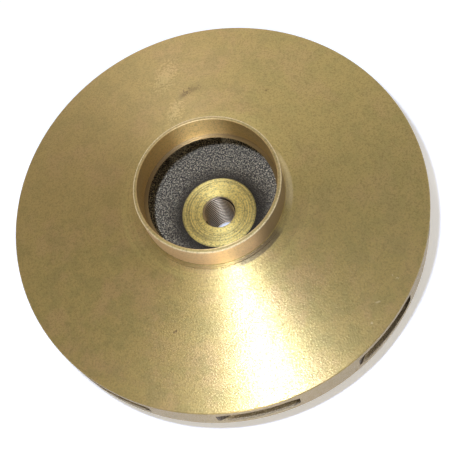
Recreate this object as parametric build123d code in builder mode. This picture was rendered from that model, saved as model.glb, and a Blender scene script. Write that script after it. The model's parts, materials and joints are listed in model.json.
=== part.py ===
from build123d import *
from math import atan2, cos, degrees, exp, log, radians, sin, sqrt
import os

os.makedirs("parts", exist_ok=True)

# Closed centrifugal pump impeller: one bronze sand casting, turned on its outer
# faces, neck and hub, with the cast waterways left rough inside.
# Millimetres.  +Z runs up the shaft axis to the suction eye.  The origin is the
# centre of the hub's back face, on which the impeller lies.

# ---- hub and shaft thread ----
hub_length = 22.2          # back face to front face
hub_front_d = 25.4         # turned front face inside the eye
hub_back_d = 30.0          # boss behind the back shroud
thread_major_d = 11.11     # 7/16-20 UNF shaft thread, at its full diameter
thread_mouth_chamfer = 0.4

# ---- shrouds and outlet ----
impeller_d = 140.0
back_stand = 14.1          # boss standing out behind the back shroud
back_edge = 2.75           # back shroud at the rim
outlet_width = 7.5         # waterway at the rim
front_edge = 2.75          # front shroud at the rim
front_rise = 7.3           # front face rises this much from rim to neck
ceiling_rise = 5.75        # waterway roof rises this much from rim to neck

# ---- neck and eye ----
neck_d = 48.0
neck_height = 11.1         # above the front face at the neck
neck_wall = 1.25           # round the turned eye
eye_bore_depth = 10.1      # from the neck's top face to its shoulder
eye_ledge = 1.45           # shoulder down to the cast opening
eye_lip_flare = 5.0        # cast lip flaring outwards into the waterways
neck_step = 1.1            # small turned shoulder round the neck's foot
neck_step_height = 0.4

# ---- vanes ----
vane_count = 9
vane_wrap = 105.5          # degrees from nose to rim, outwards and clockwise from the eye side
vane_nose_circle_d = 58.4  # circle through the centres of the rounded noses
vane_nose_thickness = 3.2
vane_rim_thickness = 9.0
vane_swell = 1.5           # how late along its run a vane thickens
vane_arcs = 3              # tangent arcs in each side of a vane, nose to rim
waterway_corner = 1.2      # cast corners where vanes meet shrouds

# ---- finishing ----
dish_centre_above_hub = 2.05   # centre of the floor's sweep up to the hub
boss_root = 3.0            # boss into the back shroud
rim_chamfer = 0.3
neck_chamfer = 0.35
neck_step_chamfer = 0.15
hub_front_chamfer = 0.4
boss_chamfer = 1.0

# ---- sizes that follow ----
impeller_r = impeller_d / 2
neck_r = neck_d / 2
eye_bore_r = neck_r - neck_wall
eye_cast_r = eye_bore_r - eye_ledge
hub_front_r = hub_front_d / 2
hub_back_r = hub_back_d / 2
floor_z = back_stand + back_edge
outlet_roof_z = floor_z + outlet_width
rim_front_z = outlet_roof_z + front_edge
neck_foot_z = rim_front_z + front_rise
neck_top_z = neck_foot_z + neck_height
eye_shoulder_z = neck_top_z - eye_bore_depth
overrun = 6.0              # cutting shapes run past the faces they cut
front_slope = front_rise / (impeller_r - neck_r)
ceiling_slope = ceiling_rise / (impeller_r - neck_r)


def front_face_z(radius):
    """Height of the turned conical front face."""
    return rim_front_z + front_slope * (impeller_r - radius)


def ceiling_z(radius):
    """Height of the waterways' conical roof."""
    return outlet_roof_z + ceiling_slope * (impeller_r - radius)


# ---- vane plan: arcs along a log spiral, with a thickness that swells towards the rim ----
vane_nose_r = vane_nose_circle_d / 2
vane_nose_angle = vane_wrap - 180 / vane_count
spiral_rate = log(impeller_r / vane_nose_r)
spiral_lean = atan2(radians(vane_wrap), spiral_rate)
vane_run_past = log((impeller_r + overrun + vane_rim_thickness) / vane_nose_r) / spiral_rate
vane_stations = [step / vane_arcs for step in range(vane_arcs + 1)] + [vane_run_past]


def vane_heading(run):
    """Direction, in degrees, in which the vane's middle line runs outwards."""
    return vane_nose_angle - vane_wrap * run - degrees(spiral_lean)


def vane_middle(run):
    """Middle line of a vane; run is 0 at the nose and 1 at the rim."""
    radius = vane_nose_r * exp(spiral_rate * run)
    angle = radians(vane_nose_angle - vane_wrap * run)
    return Vector(radius * cos(angle), radius * sin(angle))


def vane_side(run, side):
    """Point on one side (+1 or -1) of a vane."""
    swell = (vane_rim_thickness - vane_nose_thickness) * run**vane_swell
    half = side * (vane_nose_thickness + swell) / 2
    heading = radians(vane_heading(run))
    return vane_middle(run) + Vector(-half * sin(heading), half * cos(heading))


def vane_direction(run):
    """Unit vector along a vane's middle line."""
    heading = radians(vane_heading(run))
    return Vector(cos(heading), sin(heading))


with BuildSketch() as vane_plan:
    with BuildLine():
        nose_corners = []
        rim_corners = []
        for side in (1, -1):
            arc = TangentArc(
                vane_side(0, side), vane_side(vane_stations[1], side), tangent=vane_direction(0)
            )
            nose_corners.append(arc @ 0)
            for run in vane_stations[2:]:
                arc = TangentArc(arc @ 1, vane_side(run, side), tangent=arc % 1)
            rim_corners.append(arc @ 1)
        nose_tip = vane_middle(0) - vane_direction(0) * (vane_nose_thickness / 2)
        ThreePointArc(nose_corners[0], nose_tip, nose_corners[1])
        Line(rim_corners[0], rim_corners[1])
    make_face()

# ---- the waterways: what the sand core fills, from the eye out past the rim ----
hub_shoulder_z = hub_length - hub_front_chamfer
dish_centre_z = hub_shoulder_z + dish_centre_above_hub
floor_dish_radius = dish_centre_z - floor_z
dish_run = sqrt(floor_dish_radius**2 - dish_centre_above_hub**2)
dish_foot_r = hub_front_r + dish_run
dish_middle_x = dish_foot_r - floor_dish_radius * sin(radians(45))
dish_middle_z = dish_centre_z - floor_dish_radius * cos(radians(45))
core_r = impeller_r + overrun

with BuildPart() as waterways:
    # the section is turned from mid-way between two noses, so its seam meets no nose
    with BuildSketch(Plane.XZ.rotated((0, 0, vane_nose_angle + 180 / vane_count))) as core_section:
        with BuildLine():
            core_edge = Polyline(
                (dish_foot_r, floor_z),
                (core_r, floor_z),
                (core_r, ceiling_z(core_r)),
                (eye_cast_r, ceiling_z(eye_cast_r)),
                (eye_cast_r, eye_shoulder_z + overrun),
                (0, eye_shoulder_z + overrun),
                (0, hub_length),
                (hub_front_r - hub_front_chamfer, hub_length),
                (hub_front_r, hub_shoulder_z),
            )
            ThreePointArc(core_edge @ 1, (dish_middle_x, dish_middle_z), core_edge @ 0)
        make_face()
        lip_corner = core_section.vertices().sort_by_distance((eye_cast_r, ceiling_z(eye_cast_r)))[0]
        chamfer(lip_corner, length=eye_lip_flare)
    revolve(axis=Axis.Z)

    # the vanes stand in the core as gaps between its fingers
    with BuildSketch(Plane.XY.offset(floor_z - overrun)):
        with PolarLocations(0, vane_count):
            add(vane_plan.sketch)
    extrude(amount=eye_shoulder_z - floor_z + overrun, mode=Mode.SUBTRACT)

    # cast corners: vane sides and noses run into floor and roof
    vane_edges = waterways.edges(Select.LAST).filter_by(GeomType.LINE, reverse=True)
    vane_corners = vane_edges.filter_by(
        lambda edge: (edge @ 0.5).cross(Axis.Z.direction).length < impeller_r
    )
    chamfer(vane_corners, length=waterway_corner)

# ---- the casting: turned outside, less the waterways ----
step_r = neck_r + neck_step
step_top_z = front_face_z(step_r) + neck_step_height

with BuildPart() as impeller:
    with BuildSketch(Plane.XZ) as blank_section:
        with BuildLine():
            Polyline(
                (0, 0),
                (hub_back_r, 0),
                (hub_back_r, back_stand),
                (impeller_r, back_stand),
                (impeller_r, rim_front_z),
                (step_r, front_face_z(step_r)),
                (step_r, step_top_z),
                (neck_r, step_top_z),
                (neck_r, neck_top_z),
                (0, neck_top_z),
                close=True,
            )
        make_face()
        for corner, length in (
            ((hub_back_r, back_stand), boss_root),
            ((hub_back_r, 0), boss_chamfer),
            ((impeller_r, back_stand), rim_chamfer),
            ((impeller_r, rim_front_z), rim_chamfer),
            ((step_r, step_top_z), neck_step_chamfer),
            ((neck_r, neck_top_z), neck_chamfer),
        ):
            chamfer(blank_section.vertices().sort_by_distance(corner)[0], length=length)
    revolve(axis=Axis.Z)
    add(waterways.part, mode=Mode.SUBTRACT)

    # turned eye, down to a shoulder in the cast opening
    with Locations((0, 0, neck_top_z)):
        CounterBoreHole(
            radius=thread_major_d / 2,
            counter_bore_radius=eye_bore_r,
            counter_bore_depth=eye_bore_depth,
        )
    hub_mouths = impeller.edges().filter_by(GeomType.CIRCLE).filter_by(
        lambda edge: abs(edge.radius - thread_major_d / 2) < 0.01
    )
    chamfer(hub_mouths, length=thread_mouth_chamfer)

impeller.part.label = "impeller"
export_step(impeller.part, "parts/impeller.step")
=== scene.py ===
import json
from math import cos, pi, radians, sin

import bpy
from mathutils import Matrix, Vector


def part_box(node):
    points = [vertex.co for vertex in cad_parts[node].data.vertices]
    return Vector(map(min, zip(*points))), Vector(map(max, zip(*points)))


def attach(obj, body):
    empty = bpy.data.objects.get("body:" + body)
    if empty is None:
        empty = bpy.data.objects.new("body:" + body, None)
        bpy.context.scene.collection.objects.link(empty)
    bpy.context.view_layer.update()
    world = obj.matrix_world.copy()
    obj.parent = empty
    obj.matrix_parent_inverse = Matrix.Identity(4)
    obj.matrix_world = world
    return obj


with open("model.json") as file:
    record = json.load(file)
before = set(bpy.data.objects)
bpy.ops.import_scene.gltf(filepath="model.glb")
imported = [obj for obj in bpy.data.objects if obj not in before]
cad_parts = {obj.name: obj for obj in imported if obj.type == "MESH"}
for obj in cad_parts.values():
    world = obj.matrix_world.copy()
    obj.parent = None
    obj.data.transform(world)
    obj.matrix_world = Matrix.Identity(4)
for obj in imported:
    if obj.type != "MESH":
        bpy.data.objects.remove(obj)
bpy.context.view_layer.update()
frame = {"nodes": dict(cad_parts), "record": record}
bpy.ops.object.select_all(action="DESELECT")


# ---- Camera: above the suction side, turned and leaning a little to one side,
# as when the impeller lies on a table and is looked down on over its rim.
camera_aim = Vector((0.0028, -0.0072, 0.0271))
camera_reach = 0.3368
camera_heading = radians(20.5)
camera_lean = radians(24.745)
camera_roll = radians(-23.34)
bpy.ops.object.camera_add()
camera = bpy.context.object
camera.name = "camera"
camera.data.sensor_width = 36.0
camera.data.angle = radians(24.89)
camera.data.clip_start = 0.01
camera.matrix_world = (
    Matrix.Translation(camera_aim)
    @ Matrix.Rotation(camera_heading, 4, "Z")
    @ Matrix.Rotation(camera_lean, 4, "X")
    @ Matrix.Rotation(camera_roll, 4, "Z")
    @ Matrix.Translation((0, 0, camera_reach))
)
bpy.context.scene.camera = camera


# ---- Impeller: one bronze sand casting. The shrouds, neck, eye and hub are turned
# on a lathe and have tarnished to an olive tan; the waterways are left as cast.
impeller = frame["nodes"]["impeller"]
mounts = {mount["name"]: mount for mount in frame["record"]["mounts"]}
rim_r, _, neck_top_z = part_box("impeller")[1]
neck_r = mounts["neck"]["dims"]["r_mm"] / 1000
hub_front_z = mounts["hub_front"]["pos_m"][2]
hub_front_r = 0.0127
shaft_hole_r = 0.00556
eye_bore_r = 0.02275            # the turned eye, down to its shoulder
eye_shoulder_z = 0.0354
floor_z = 0.01685               # floor of the waterways
a_hair = 0.00005                # keeps a mask's edge clear of the face that it marks


def wire(tree, value, socket):
    """Links a socket, or sets a plain value."""
    if isinstance(value, bpy.types.NodeSocket):
        tree.links.new(value, socket)
    else:
        socket.default_value = value


def maths(tree, operation, *values):
    """One Math node on sockets or numbers."""
    node = tree.nodes.new("ShaderNodeMath")
    node.operation = operation
    for value, socket in zip(values, node.inputs):
        wire(tree, value, socket)
    return node.outputs[0]


def times(tree, value, factor):
    """One value multiplied by another."""
    return maths(tree, "MULTIPLY", value, factor)


def all_of(tree, first, *others):
    """A mask where all the given masks hold."""
    for other in others:
        first = times(tree, first, other)
    return first


def above(tree, value, limit):
    """A mask where a value is over a limit."""
    return maths(tree, "GREATER_THAN", value, limit)


def below(tree, value, limit):
    """A mask where a value is under a limit."""
    return maths(tree, "LESS_THAN", value, limit)


def fade(tree, value, start, end, start_value=0.0, end_value=1.0):
    """Runs smoothly from one value to another as value goes from start to end."""
    node = tree.nodes.new("ShaderNodeMapRange")
    node.interpolation_type = "SMOOTHSTEP"
    for number, socket in zip((value, start, end, start_value, end_value), node.inputs):
        wire(tree, number, socket)
    return node.outputs[0]


def blend_values(tree, mask, under, over):
    """Goes from one number to another by a mask."""
    node = tree.nodes.new("ShaderNodeMix")
    for value, socket in zip((mask, under, over), (node.inputs[0], node.inputs[2], node.inputs[3])):
        wire(tree, value, socket)
    return node.outputs[0]


def paint(tree, mask, under, over):
    """Lays one colour over another by a mask."""
    node = tree.nodes.new("ShaderNodeMix")
    node.data_type = "RGBA"
    for value, socket in zip((mask, under, over), (node.inputs[0], node.inputs[6], node.inputs[7])):
        wire(tree, value, socket)
    return node.outputs[2]


def split(tree, vector):
    """The three numbers of a vector."""
    node = tree.nodes.new("ShaderNodeSeparateXYZ")
    tree.links.new(vector, node.inputs[0])
    return node.outputs


def join(tree, *numbers):
    """A vector of up to three numbers; a number that isn't given is zero."""
    node = tree.nodes.new("ShaderNodeCombineXYZ")
    for number, socket in zip(numbers, node.inputs):
        wire(tree, number, socket)
    return node.outputs[0]


def length(tree, first, second):
    """Length of a flat vector; for x and y it is the distance from the shaft's axis."""
    squares = maths(tree, "ADD", maths(tree, "POWER", first, 2.0), maths(tree, "POWER", second, 2.0))
    return maths(tree, "SQRT", squares)


def mottle(tree, vector, scale, detail, roughness=0.55):
    """Noise from 0 to 1 on a vector."""
    node = tree.nodes.new("ShaderNodeTexNoise")
    node.inputs["Scale"].default_value = scale
    node.inputs["Detail"].default_value = detail
    node.inputs["Roughness"].default_value = roughness
    tree.links.new(vector, node.inputs["Vector"])
    return node.outputs[0]


def group_with(name, numbers, outputs):
    """An empty node group that takes a vector and named numbers, and puts out named numbers."""
    group = bpy.data.node_groups.new(name, "ShaderNodeTree")
    group.interface.new_socket("Vector", in_out="INPUT", socket_type="NodeSocketVector")
    for label, value in numbers.items():
        socket = group.interface.new_socket(label, in_out="INPUT", socket_type="NodeSocketFloat")
        socket.default_value = value
    for label in outputs:
        group.interface.new_socket(label, in_out="OUTPUT", socket_type="NodeSocketFloat")
    return group, group.nodes.new("NodeGroupInput").outputs, group.nodes.new("NodeGroupOutput").inputs


def place_group(tree, group, **values):
    """Puts a node group in a material; underscores in the names stand for spaces."""
    node = tree.nodes.new("ShaderNodeGroup")
    node.node_tree = group
    for name, value in values.items():
        wire(tree, value, node.inputs[name.replace("_", " ")])
    return node.outputs


def make_lathe_marks():
    """Fine rings left by the tool and the broader bands they fall in, as a tone and a height."""
    band_pace = 0.13                # of the rings' own, so a band takes in about eight rings
    ring_drift = 30.0               # how fast a ring changes on its way round
    band_drift = 25.0
    group, given, result = group_with("lathe_marks", {"Ring spacing": 0.0004}, ["Tone", "Height"])
    x, y, z = split(group, given["Vector"])
    along = maths(group, "ADD", length(group, x, y), z)
    turns = maths(group, "DIVIDE", along, given["Ring spacing"])
    band_turns = times(group, turns, band_pace)
    ring_place = join(group, turns, times(group, x, ring_drift), times(group, y, ring_drift))
    band_place = join(group, band_turns, times(group, x, band_drift), times(group, y, band_drift))
    rings = mottle(group, ring_place, scale=1.0, detail=2.0)
    bands = mottle(group, band_place, scale=1.0, detail=2.0)
    tone = maths(group, "ADD", times(group, rings, 0.5), times(group, bands, 0.5))
    group.links.new(tone, result["Tone"])
    group.links.new(rings, result["Height"])
    return group


def make_tarnish():
    """Patches where handled bronze has gone pink or olive, and its dark specks, as masks."""
    group, given, result = group_with("tarnish", {}, ["Pink", "Olive", "Specks"])
    broad = mottle(group, given["Vector"], scale=60.0, detail=6.0, roughness=0.68)
    patchy = mottle(group, given["Vector"], scale=150.0, detail=6.0, roughness=0.70)
    speckle = mottle(group, given["Vector"], scale=1500.0, detail=3.0, roughness=0.70)
    group.links.new(fade(group, broad, 0.44, 0.62), result["Pink"])
    group.links.new(fade(group, patchy, 0.44, 0.62), result["Olive"])
    group.links.new(fade(group, speckle, 0.46, 0.64), result["Specks"])
    return group


def make_sand_skin():
    """The grainy skin that a sand mould leaves, as a tone and a height."""
    group, given, result = group_with("sand_skin", {"Grain": 0.0009}, ["Tone", "Height"])
    in_grains = group.nodes.new("ShaderNodeVectorMath")
    in_grains.operation = "SCALE"
    group.links.new(given["Vector"], in_grains.inputs[0])
    group.links.new(maths(group, "DIVIDE", 1.0, given["Grain"]), in_grains.inputs["Scale"])
    grain = mottle(group, in_grains.outputs[0], scale=1.0, detail=3.0, roughness=0.65)
    lumps = mottle(group, in_grains.outputs[0], scale=0.3, detail=2.0, roughness=0.5)
    height = maths(group, "ADD", times(group, grain, 0.6), times(group, lumps, 0.6))
    group.links.new(fade(group, grain, 0.44, 0.69), result["Tone"])
    group.links.new(height, result["Height"])
    return group


def make_stroke():
    """A short stroke with ragged edges, placed from above by x and y, as a mask."""
    sizes = {"X": 0.0, "Y": 0.0, "Angle": 0.0, "Half length": 0.002, "Half width": 0.0003}
    group, given, result = group_with("stroke", sizes, ["Mask"])
    x, y, _ = split(group, given["Vector"])
    off_x = maths(group, "SUBTRACT", x, given["X"])
    off_y = maths(group, "SUBTRACT", y, given["Y"])
    cosine = maths(group, "COSINE", given["Angle"])
    sine = maths(group, "SINE", given["Angle"])
    along = maths(group, "ADD", times(group, off_x, cosine), times(group, off_y, sine))
    across = maths(group, "SUBTRACT", times(group, off_y, cosine), times(group, off_x, sine))
    reach = length(
        group,
        maths(group, "DIVIDE", along, given["Half length"]),
        maths(group, "DIVIDE", across, given["Half width"]),
    )
    noise = mottle(group, given["Vector"], scale=1500.0, detail=2.0)
    ragged_reach = maths(group, "ADD", reach, maths(group, "MULTIPLY_ADD", noise, 4.0, -1.9))
    group.links.new(fade(group, ragged_reach, 1.1, 0.5), result["Mask"])
    return group


lathe_marks = make_lathe_marks()
tarnish = make_tarnish()
sand_skin = make_sand_skin()
stroke = make_stroke()

# sides of the impeller, looked at from the shaft's axis, that take a tint, painted light or
# painted shade: the middle and the spread of each in degrees from +X towards +Y, and the
# share of the spread over which it is full
tinted_lit_and_shaded_sides = {
    "ruddy": (135, 75, 0.20),       # of the front face
    "pale": (20, 75, 0.20),
    # painted highlight on the eye's wall
    "rubbed_and_highlight": (97, 30, 0.30),       # of the eye's wall
    # painted shade on the neck's side that faces away from the lamps
    "neck_shade": (-18, 39, 0.45),     # of the neck
    # painted shadow that the neck casts on its foot
    "foot_shadow": (-52, 24, 0.60),     # of the neck's foot
    # painted highlight on the neck's foot
    "foot_highlight": (12, 30, 0.40),
    # painted light on the outlets' lower lips, strongest on this side
    "lit_lips": (-98, 65, 0.60),     # of the outlets' lower lips
}

# smudges, rubbed patches and bare scratches on the front face, in metres and radians
front_marks = [                     # x, y, angle, half length, half width, strength, kind
    (-0.0072, 0.0432, 0.30, 0.0032, 0.0017, 0.40, "smudge"),
    (-0.0103, 0.0412, 0.75, 0.0026, 0.0013, 0.45, "smudge"),
    (-0.0128, 0.0350, 1.35, 0.0056, 0.0024, 0.17, "rubbed_and_highlight"),
    (-0.0172, 0.0500, 1.25, 0.0072, 0.0036, 0.15, "rubbed_and_highlight"),
    (0.0187, 0.0400, 0.50, 0.0009, 0.0006, 0.55, "smudge"),
    (-0.0131, -0.0440, 0.90, 0.0009, 0.0004, 0.70, "smudge"),
    (0.0559, -0.0294, 2.60, 0.0007, 0.0003, 0.60, "scratch"),
    (0.0573, -0.0302, 0.40, 0.0006, 0.0003, 0.60, "scratch"),
    (0.0505, -0.0379, 0.30, 0.0011, 0.0003, 0.40, "scratch"),
    (0.0483, -0.0444, 1.40, 0.0007, 0.0003, 0.40, "scratch"),
]


def find_sides(tree, x, y, radius):
    """A soft mask for each side that takes a tint, painted light or painted shade."""
    sides = {}
    for name, (middle, spread, full_share) in tinted_lit_and_shaded_sides.items():
        along_x = times(tree, x, cos(radians(middle)))
        along_y = times(tree, y, sin(radians(middle)))
        facing = maths(tree, "DIVIDE", maths(tree, "ADD", along_x, along_y), radius)
        sides[name] = fade(tree, facing, cos(radians(spread)), cos(radians(spread) * full_share))
    return sides


def find_faces(tree, radius, z):
    """A mask for each face of the impeller, by its distance from the axis and its height."""
    web_rim_z = 0.02572             # middle of the front shroud's wall at the rim
    web_slope = 0.142               # and how it rises inwards
    lip_foot_r = 0.0264             # where the cast lip flares out into the waterways' roof
    under_cone_z = 0.0338           # just under the turned face there
    floor_margin = 0.001            # reach of the cast skin's mask under the waterways' floor
    hole_collar = 0.0007            # round the shaft hole, wider than its chamfers
    hole_mouth = 0.0003             # depth of the hole that is coloured as the hub's face
    hub_chamfer = 0.0004
    crown_height = 0.0003           # top of the neck, with most of its chamfer
    edge_height = 0.00034           # the chamfer round the top of the neck
    edge_width = 0.00037
    foot_r = 0.0267                 # the ring round the neck's foot that takes a painted shadow and a painted highlight
    foot_edge = 0.0006              # and its soft outer edge
    back_edge = 0.0026              # from the waterways' floor down the back shroud's edge

    # where the skin is as cast: behind the front shroud's wall, and inside the eye's lip
    web_z = maths(tree, "MULTIPLY_ADD", radius, -web_slope, web_rim_z + web_slope * rim_r)
    in_lip = all_of(
        tree, below(tree, radius, eye_bore_r - a_hair), below(tree, z, eye_shoulder_z - a_hair)
    )
    in_flare = all_of(tree, below(tree, radius, lip_foot_r), below(tree, z, under_cone_z))
    inside = maths(tree, "MAXIMUM", below(tree, z, web_z), maths(tree, "MAXIMUM", in_lip, in_flare))
    waterway = all_of(
        tree,
        inside,
        above(tree, z, floor_z - floor_margin),
        below(tree, radius, rim_r - a_hair),
        above(tree, radius, shaft_hole_r + hole_collar),
    )

    hub = all_of(
        tree, below(tree, radius, hub_front_r + a_hair), above(tree, z, hub_front_z - hub_chamfer)
    )
    hole = all_of(
        tree, below(tree, radius, shaft_hole_r + 2 * a_hair), below(tree, z, hub_front_z - hole_mouth)
    )
    bore = all_of(
        tree, below(tree, radius, eye_bore_r + 4 * a_hair), above(tree, z, eye_shoulder_z - a_hair)
    )
    neck = all_of(
        tree,
        below(tree, radius, neck_r + a_hair),
        above(tree, z, eye_shoulder_z - a_hair),
        below(tree, z, neck_top_z - crown_height),
    )
    neck_edge = all_of(
        tree, above(tree, z, neck_top_z - edge_height), above(tree, radius, neck_r - edge_width)
    )
    foot = all_of(
        tree,
        fade(tree, radius, foot_r, foot_r - foot_edge),
        above(tree, radius, neck_r + a_hair),
        above(tree, z, under_cone_z),
    )
    return {
        "cast": all_of(tree, waterway, maths(tree, "SUBTRACT", 1.0, hub)),
        "front": all_of(tree, above(tree, z, web_z), below(tree, z, eye_shoulder_z)),
        "rim": all_of(tree, above(tree, radius, rim_r - a_hair), above(tree, z, floor_z - back_edge)),
        "hub": hub,
        "hole": hole,
        "bore": bore,
        "ledge": all_of(tree, bore, below(tree, z, eye_shoulder_z + a_hair)),
        "neck": neck,
        "neck side": all_of(tree, neck, above(tree, radius, neck_r - a_hair)),
        "neck crown": above(tree, z, neck_top_z - crown_height),
        "neck top": above(tree, z, neck_top_z - 2 * a_hair),
        "neck edge": neck_edge,
        "foot": foot,
    }


def turned_colour(tree, position, radius, faces, sides, marks, patches):
    """Colour of the turned faces: tan bronze, with its tarnish, wear and marks, and with painted
    highlights and painted shade on some sides.
    """
    tan = (0.528, 0.394, 0.149, 1)
    pink = (0.575, 0.388, 0.185, 1)
    olive = (0.36, 0.305, 0.115, 1)
    yellow = (0.70, 0.57, 0.21, 1)
    copper = (0.52, 0.345, 0.140, 1)
    straw = (0.64, 0.535, 0.225, 1)
    orange = (0.66, 0.42, 0.155, 1)
    gold = (1.0, 0.76, 0.36, 1)
    brass = (1.0, 0.82, 0.28, 1)
    rose = (0.95, 0.70, 0.43, 1)
    beige = (0.36, 0.280, 0.165, 1)
    pale_wear_and_highlight = (0.90, 0.77, 0.48, 1)
    dull = (0.285, 0.215, 0.088, 1)
    umber = (0.20, 0.150, 0.080, 1)
    grime = (0.13, 0.085, 0.050, 1)

    # the tool's rings show more towards the neck, and the specks less on neck and hub
    rings = fade(tree, marks["Tone"], 0.42, 0.66)
    ring_strength = fade(tree, radius, 0.038, 0.027, 0.10, 0.50)
    hub_rings = all_of(tree, faces["hub"], fade(tree, marks["Tone"], 0.56, 0.40))
    hub_specks = all_of(tree, faces["hub"], patches["Specks"])
    speck_strength = maths(tree, "MULTIPLY_ADD", faces["hub"], -0.40, 0.40)
    speck_strength = maths(tree, "MULTIPLY_ADD", faces["neck side"], -0.20, speck_strength)
    coats = [                       # mask, strength, colour
        (patches["Pink"], 0.55, pink),
        (patches["Olive"], 0.45, olive),
        (rings, ring_strength, yellow),
        (sides["ruddy"], 0.35, copper),
        (sides["pale"], 0.30, straw),
        (faces["bore"], 0.70, orange),
        # painted highlight: gold on the eye's wall, where the lamps' glint falls
        (all_of(tree, faces["bore"], sides["rubbed_and_highlight"]), 0.70, gold),
        (faces["ledge"], 0.80, umber),
        (faces["hub"], 0.85, brass),
        (hub_rings, 0.52, dull),
        (hub_specks, 0.44, umber),
        (faces["rim"], 0.80, beige),
        (faces["neck top"], 0.12, pale_wear_and_highlight),
        (faces["neck edge"], 0.80, pale_wear_and_highlight),
        (faces["neck side"], 0.80, rose),
        # painted shade: umber on the neck's side that faces away from the lamps
        (all_of(tree, sides["neck_shade"], faces["neck side"]), 0.75, umber),
        (patches["Specks"], speck_strength, dull),
        # painted shadow: umber where the neck's shadow falls on its foot
        (all_of(tree, faces["foot"], sides["foot_shadow"]), 0.80, umber),
        # painted highlight: pale bronze on the neck's foot
        (all_of(tree, faces["foot"], sides["foot_highlight"]), 0.40, pale_wear_and_highlight),
    ]
    mark_colours = {"smudge": grime, "rubbed_and_highlight": gold, "scratch": pale_wear_and_highlight}
    for mark_x, mark_y, angle, half_length, half_width, strength, kind in front_marks:
        mark = place_group(
            tree, stroke, Vector=position, X=mark_x, Y=mark_y, Angle=angle,
            Half_length=half_length, Half_width=half_width,
        )
        coats.append((all_of(tree, mark["Mask"], faces["front"]), strength, mark_colours[kind]))

    colour = tan
    for mask, strength, coat in coats:
        colour = paint(tree, times(tree, mask, strength), colour, coat)
    return colour


def thread_colour(tree, radius, z):
    """Colour in the threaded hole: dark in the roots, light on the crests and mouth."""
    crest = (0.84, 0.66, 0.42, 1)
    root = (0.060, 0.044, 0.028, 1)
    crest_r = shaft_hole_r - 0.00057
    root_r = shaft_hole_r - 0.00038
    mouth_z = hub_front_z - 0.0011
    colour = paint(tree, fade(tree, radius, crest_r, root_r), crest, root)
    return paint(tree, above(tree, z, mouth_z), colour, crest)


def cast_colour(tree, radius, z, sides, skin):
    """Colour of the cast skin: soot and ash tones by its grain, painted shade next to the hub and
    deep in the outlets, and painted light on the outlets' lower lips.
    """
    soot = (0.078, 0.061, 0.040, 1)
    ash = (1.0, 0.83, 0.50, 1)
    hub_shade = (0.070, 0.054, 0.032, 1)
    outlet_shade = (0.085, 0.058, 0.034, 1)
    lip_light = (0.66, 0.52, 0.30, 1)
    lip_top_z = floor_z + 0.0008
    by_hub = fade(tree, radius, 0.0135, 0.0225, 0.85, 0.0)
    in_outlet = fade(tree, radius, 0.052, 0.064)
    on_lower_lip = all_of(
        tree,
        fade(tree, radius, 0.060, 0.068),
        below(tree, z, lip_top_z),
        blend_values(tree, skin["Tone"], 0.62, 1.0),
        blend_values(tree, sides["lit_lips"], 0.25, 1.0),
    )
    colour = paint(tree, skin["Tone"], soot, ash)
    # painted shade on the floor next to the hub
    colour = paint(tree, by_hub, colour, hub_shade)
    # painted shade deep in the outlets, under the front shroud
    colour = paint(tree, times(tree, in_outlet, 0.8), colour, outlet_shade)
    # painted light: bright bronze on the outlets' lower lips, strongest on the side the lamps light
    return paint(tree, on_lower_lip, colour, lip_light)


def turned_roughness(tree, position, faces):
    """Roughness of the turned faces: smooth lands and rougher grooves, too fine to see singly."""
    grain = mottle(tree, position, scale=5200.0, detail=1.0)
    roughness = fade(tree, grain, 0.42, 0.60, 0.32, 0.66)
    for face, face_roughness in (
        ("hub", fade(tree, grain, 0.42, 0.60, 0.55, 0.95)),
        ("neck crown", 0.85),
        ("neck", 0.44),
        ("bore", 0.45),
        ("hole", 0.36),
    ):
        roughness = blend_values(tree, faces[face], roughness, face_roughness)
    return roughness


def turned_height(tree, position, faces, marks):
    """Relief of the turned faces: faint rings, and pits that are deeper on the hub."""
    pits = mottle(tree, position, scale=1700.0, detail=3.0, roughness=0.6)
    pit_depth = maths(tree, "MULTIPLY_ADD", faces["hub"], 0.12, 0.070)
    return maths(tree, "ADD", times(tree, marks["Height"], 0.004), times(tree, pits, pit_depth))


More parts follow.
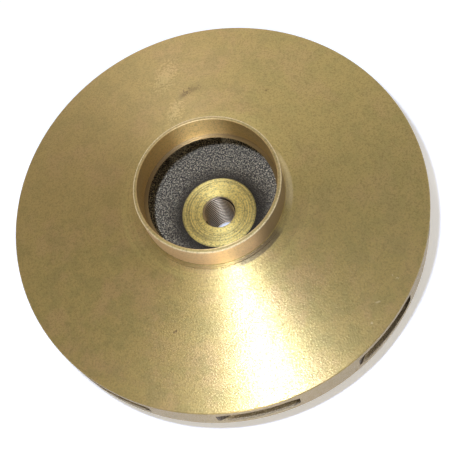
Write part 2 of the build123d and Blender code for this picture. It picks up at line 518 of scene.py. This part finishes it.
def make_bronze():
    """Turned bronze outside and raw sand-cast bronze in the waterways."""
    material = bpy.data.materials.new("bronze_turned_and_cast")
    material.use_nodes = True
    tree = material.node_tree
    shader = tree.nodes["Principled BSDF"]
    position = tree.nodes.new("ShaderNodeTexCoord").outputs["Object"]
    x, y, z = split(tree, position)
    radius = length(tree, x, y)
    faces = find_faces(tree, radius, z)
    sides = find_sides(tree, x, y, radius)
    marks = place_group(tree, lathe_marks, Vector=position, Ring_spacing=0.00045)
    patches = place_group(tree, tarnish, Vector=position)
    skin = place_group(tree, sand_skin, Vector=position, Grain=0.00048)

    turned = turned_colour(tree, position, radius, faces, sides, marks, patches)
    turned = paint(tree, faces["hole"], turned, thread_colour(tree, radius, z))
    raw = cast_colour(tree, radius, z, sides, skin)
    tree.links.new(paint(tree, faces["cast"], turned, raw), shader.inputs["Base Color"])

    # soot and sand hide most of the metal in the waterways
    metallic = maths(tree, "MULTIPLY_ADD", faces["cast"], -0.65, 1.0)
    tree.links.new(metallic, shader.inputs["Metallic"])
    roughness = blend_values(
        tree,
        faces["cast"],
        turned_roughness(tree, position, faces),
        fade(tree, skin["Tone"], 0.0, 1.0, 0.60, 0.34),
    )
    tree.links.new(roughness, shader.inputs["Roughness"])

    # the tool's rings spread the light across them
    shader.inputs["Anisotropic"].default_value = 0.75
    shader.inputs["Anisotropic Rotation"].default_value = 0.25
    tree.links.new(join(tree, times(tree, y, -1.0), x), shader.inputs["Tangent"])

    relief = blend_values(
        tree,
        faces["cast"],
        turned_height(tree, position, faces, marks),
        times(tree, skin["Height"], 1.6),
    )
    bump = tree.nodes.new("ShaderNodeBump")
    bump.inputs["Strength"].default_value = 1.0
    bump.inputs["Distance"].default_value = 0.0005
    tree.links.new(relief, bump.inputs["Height"])
    tree.links.new(bump.outputs[0], shader.inputs["Normal"])
    return material


bronze = make_bronze()
for slot in impeller.material_slots:
    slot.material = bronze


# ---- Shaft thread: the right-hand ridge cut in the hub's hole, in the hub's own
# bronze. It winds from one chamfered mouth to the other.
thread_pitch = 0.00127
thread_depth = 0.00062
thread_start_z = 0.0012
thread_end_z = 0.0210
thread_turns = (thread_end_z - thread_start_z) / thread_pitch
steps_per_turn = 48
ridge_root_r = shaft_hole_r + 0.00003       # sunk a little into the hole's wall
ridge_root_width = 0.92 * thread_pitch
ridge_crest_width = 0.16 * thread_pitch

# the ridge's section stands upright across the hole's wall and narrows to its crest
section_middle = Vector((ridge_root_r - thread_depth / 2, 0, thread_start_z))
bpy.ops.mesh.primitive_plane_add(size=1.0, location=section_middle, rotation=(radians(-90), 0, 0))
thread = bpy.context.object
thread.name = "shaft_thread"
bpy.ops.object.mode_set(mode="EDIT")
bpy.ops.transform.resize(
    value=(thread_depth, 1, ridge_root_width), center_override=section_middle
)
bpy.ops.mesh.select_all(action="DESELECT")
bpy.ops.object.mode_set(mode="OBJECT")
for corner in thread.data.vertices:
    corner.select = corner.co.x < 0
bpy.ops.object.mode_set(mode="EDIT")
bpy.ops.transform.resize(
    value=(1, 1, ridge_crest_width / ridge_root_width), center_override=section_middle
)
bpy.ops.object.mode_set(mode="OBJECT")
bpy.ops.object.transform_apply(location=True, rotation=True, scale=True)

winding = thread.modifiers.new("winding", "SCREW")
winding.axis = "Z"
winding.angle = 2 * pi * thread_turns
winding.screw_offset = thread_end_z - thread_start_z
winding.steps = round(steps_per_turn * thread_turns)
winding.render_steps = winding.steps
winding.use_smooth_shade = False
bpy.ops.object.modifier_apply(modifier=winding.name)
thread.data.materials.append(bronze)
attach(thread, "root")
bpy.ops.object.select_all(action="DESELECT")


# ---- Table and room: a plain pale table in a white room. The table is clear from
# below, so that the impeller's back can be looked at through it.
def make_pale_table():
    """Matt white that glows a little to the eye and in the metal's reflections."""
    material = bpy.data.materials.new("pale_table")
    material.use_nodes = True
    tree = material.node_tree
    shader = tree.nodes["Principled BSDF"]
    shader.inputs["Base Color"].default_value = (0.9, 0.9, 0.9, 1)
    shader.inputs["Roughness"].default_value = 0.9
    shader.inputs["Specular IOR Level"].default_value = 0.1
    shader.inputs["Emission Color"].default_value = (1, 1, 1, 1)
    paths = tree.nodes.new("ShaderNodeLightPath").outputs
    mirrored = maths(tree, "MAXIMUM", paths["Is Glossy Ray"], paths["Is Transmission Ray"])
    seen = maths(tree, "MAXIMUM", paths["Is Camera Ray"], mirrored)
    tree.links.new(times(tree, seen, 0.25), shader.inputs["Emission Strength"])

    clear = tree.nodes.new("ShaderNodeBsdfTransparent")
    one_way = tree.nodes.new("ShaderNodeMixShader")
    underneath = tree.nodes.new("ShaderNodeNewGeometry").outputs["Backfacing"]
    tree.links.new(underneath, one_way.inputs[0])
    tree.links.new(shader.outputs[0], one_way.inputs[1])
    tree.links.new(clear.outputs[0], one_way.inputs[2])
    tree.links.new(one_way.outputs[0], tree.nodes["Material Output"].inputs["Surface"])
    return material


def make_white_room():
    """A dim warm glow that lights the metal, and plain white where the camera looks past it."""
    world = bpy.data.worlds.new("white_room")
    world.use_nodes = True
    tree = world.node_tree
    glow = tree.nodes["Background"]
    glow.inputs["Color"].default_value = (1, 0.97, 0.93, 1)
    glow.inputs["Strength"].default_value = 0.41
    backdrop = tree.nodes.new("ShaderNodeBackground")
    backdrop.inputs["Color"].default_value = (1, 1, 1, 1)
    backdrop.inputs["Strength"].default_value = 1.0
    room = tree.nodes.new("ShaderNodeMixShader")
    looked_at = tree.nodes.new("ShaderNodeLightPath").outputs["Is Camera Ray"]
    tree.links.new(looked_at, room.inputs[0])
    tree.links.new(glow.outputs[0], room.inputs[1])
    tree.links.new(backdrop.outputs[0], room.inputs[2])
    tree.links.new(room.outputs[0], tree.nodes["World Output"].inputs["Surface"])
    return world


table_gap = 0.0002              # between the table and the hub's back face
bpy.ops.mesh.primitive_plane_add(size=6.0, location=(0, 0, -table_gap))
table_top = bpy.context.object
table_top.name = "table_top"
table_top.data.materials.append(make_pale_table())
bpy.context.scene.world = make_white_room()
bpy.context.scene.view_settings.view_transform = "Standard"


# ---- Lamps: a small cool flash beside the camera, which draws the streak on the front
# face, and three larger, warmer lamps from above, from the front and from the far side.
lamp_aim = Vector((0, 0, 0.03))


def add_lamp(name, towards, distance, size, power, colour):
    """A round lamp, aimed at the eye of the impeller from a direction."""
    direction = Vector(towards).normalized()
    bpy.ops.object.light_add(type="AREA", location=lamp_aim + direction * distance)
    lamp = bpy.context.object
    lamp.name = name
    lamp.data.shape = "DISK"
    lamp.data.size = size
    lamp.data.energy = power
    lamp.data.color = colour
    lamp.rotation_euler = direction.to_track_quat("Z", "Y").to_euler()


add_lamp(
    "flash", towards=(0.0145, -0.099, 0.320), distance=0.335,
    size=0.016, power=0.76, colour=(0.82, 0.98, 1.46),
)
add_lamp(
    "overhead", towards=(-0.117, 0.150, 0.98), distance=1.2,
    size=0.10, power=0.95, colour=(1.0, 0.96, 0.92),
)
add_lamp(
    "front", towards=(0.04, -0.93, 0.40), distance=0.9,
    size=0.25, power=1.8, colour=(1.0, 0.95, 0.90),
)
add_lamp(
    "window", towards=(-0.02, 0.75, 0.65), distance=0.9,
    size=0.8, power=0.72, colour=(1.0, 0.93, 0.90),
)
bpy.ops.object.select_all(action="DESELECT")
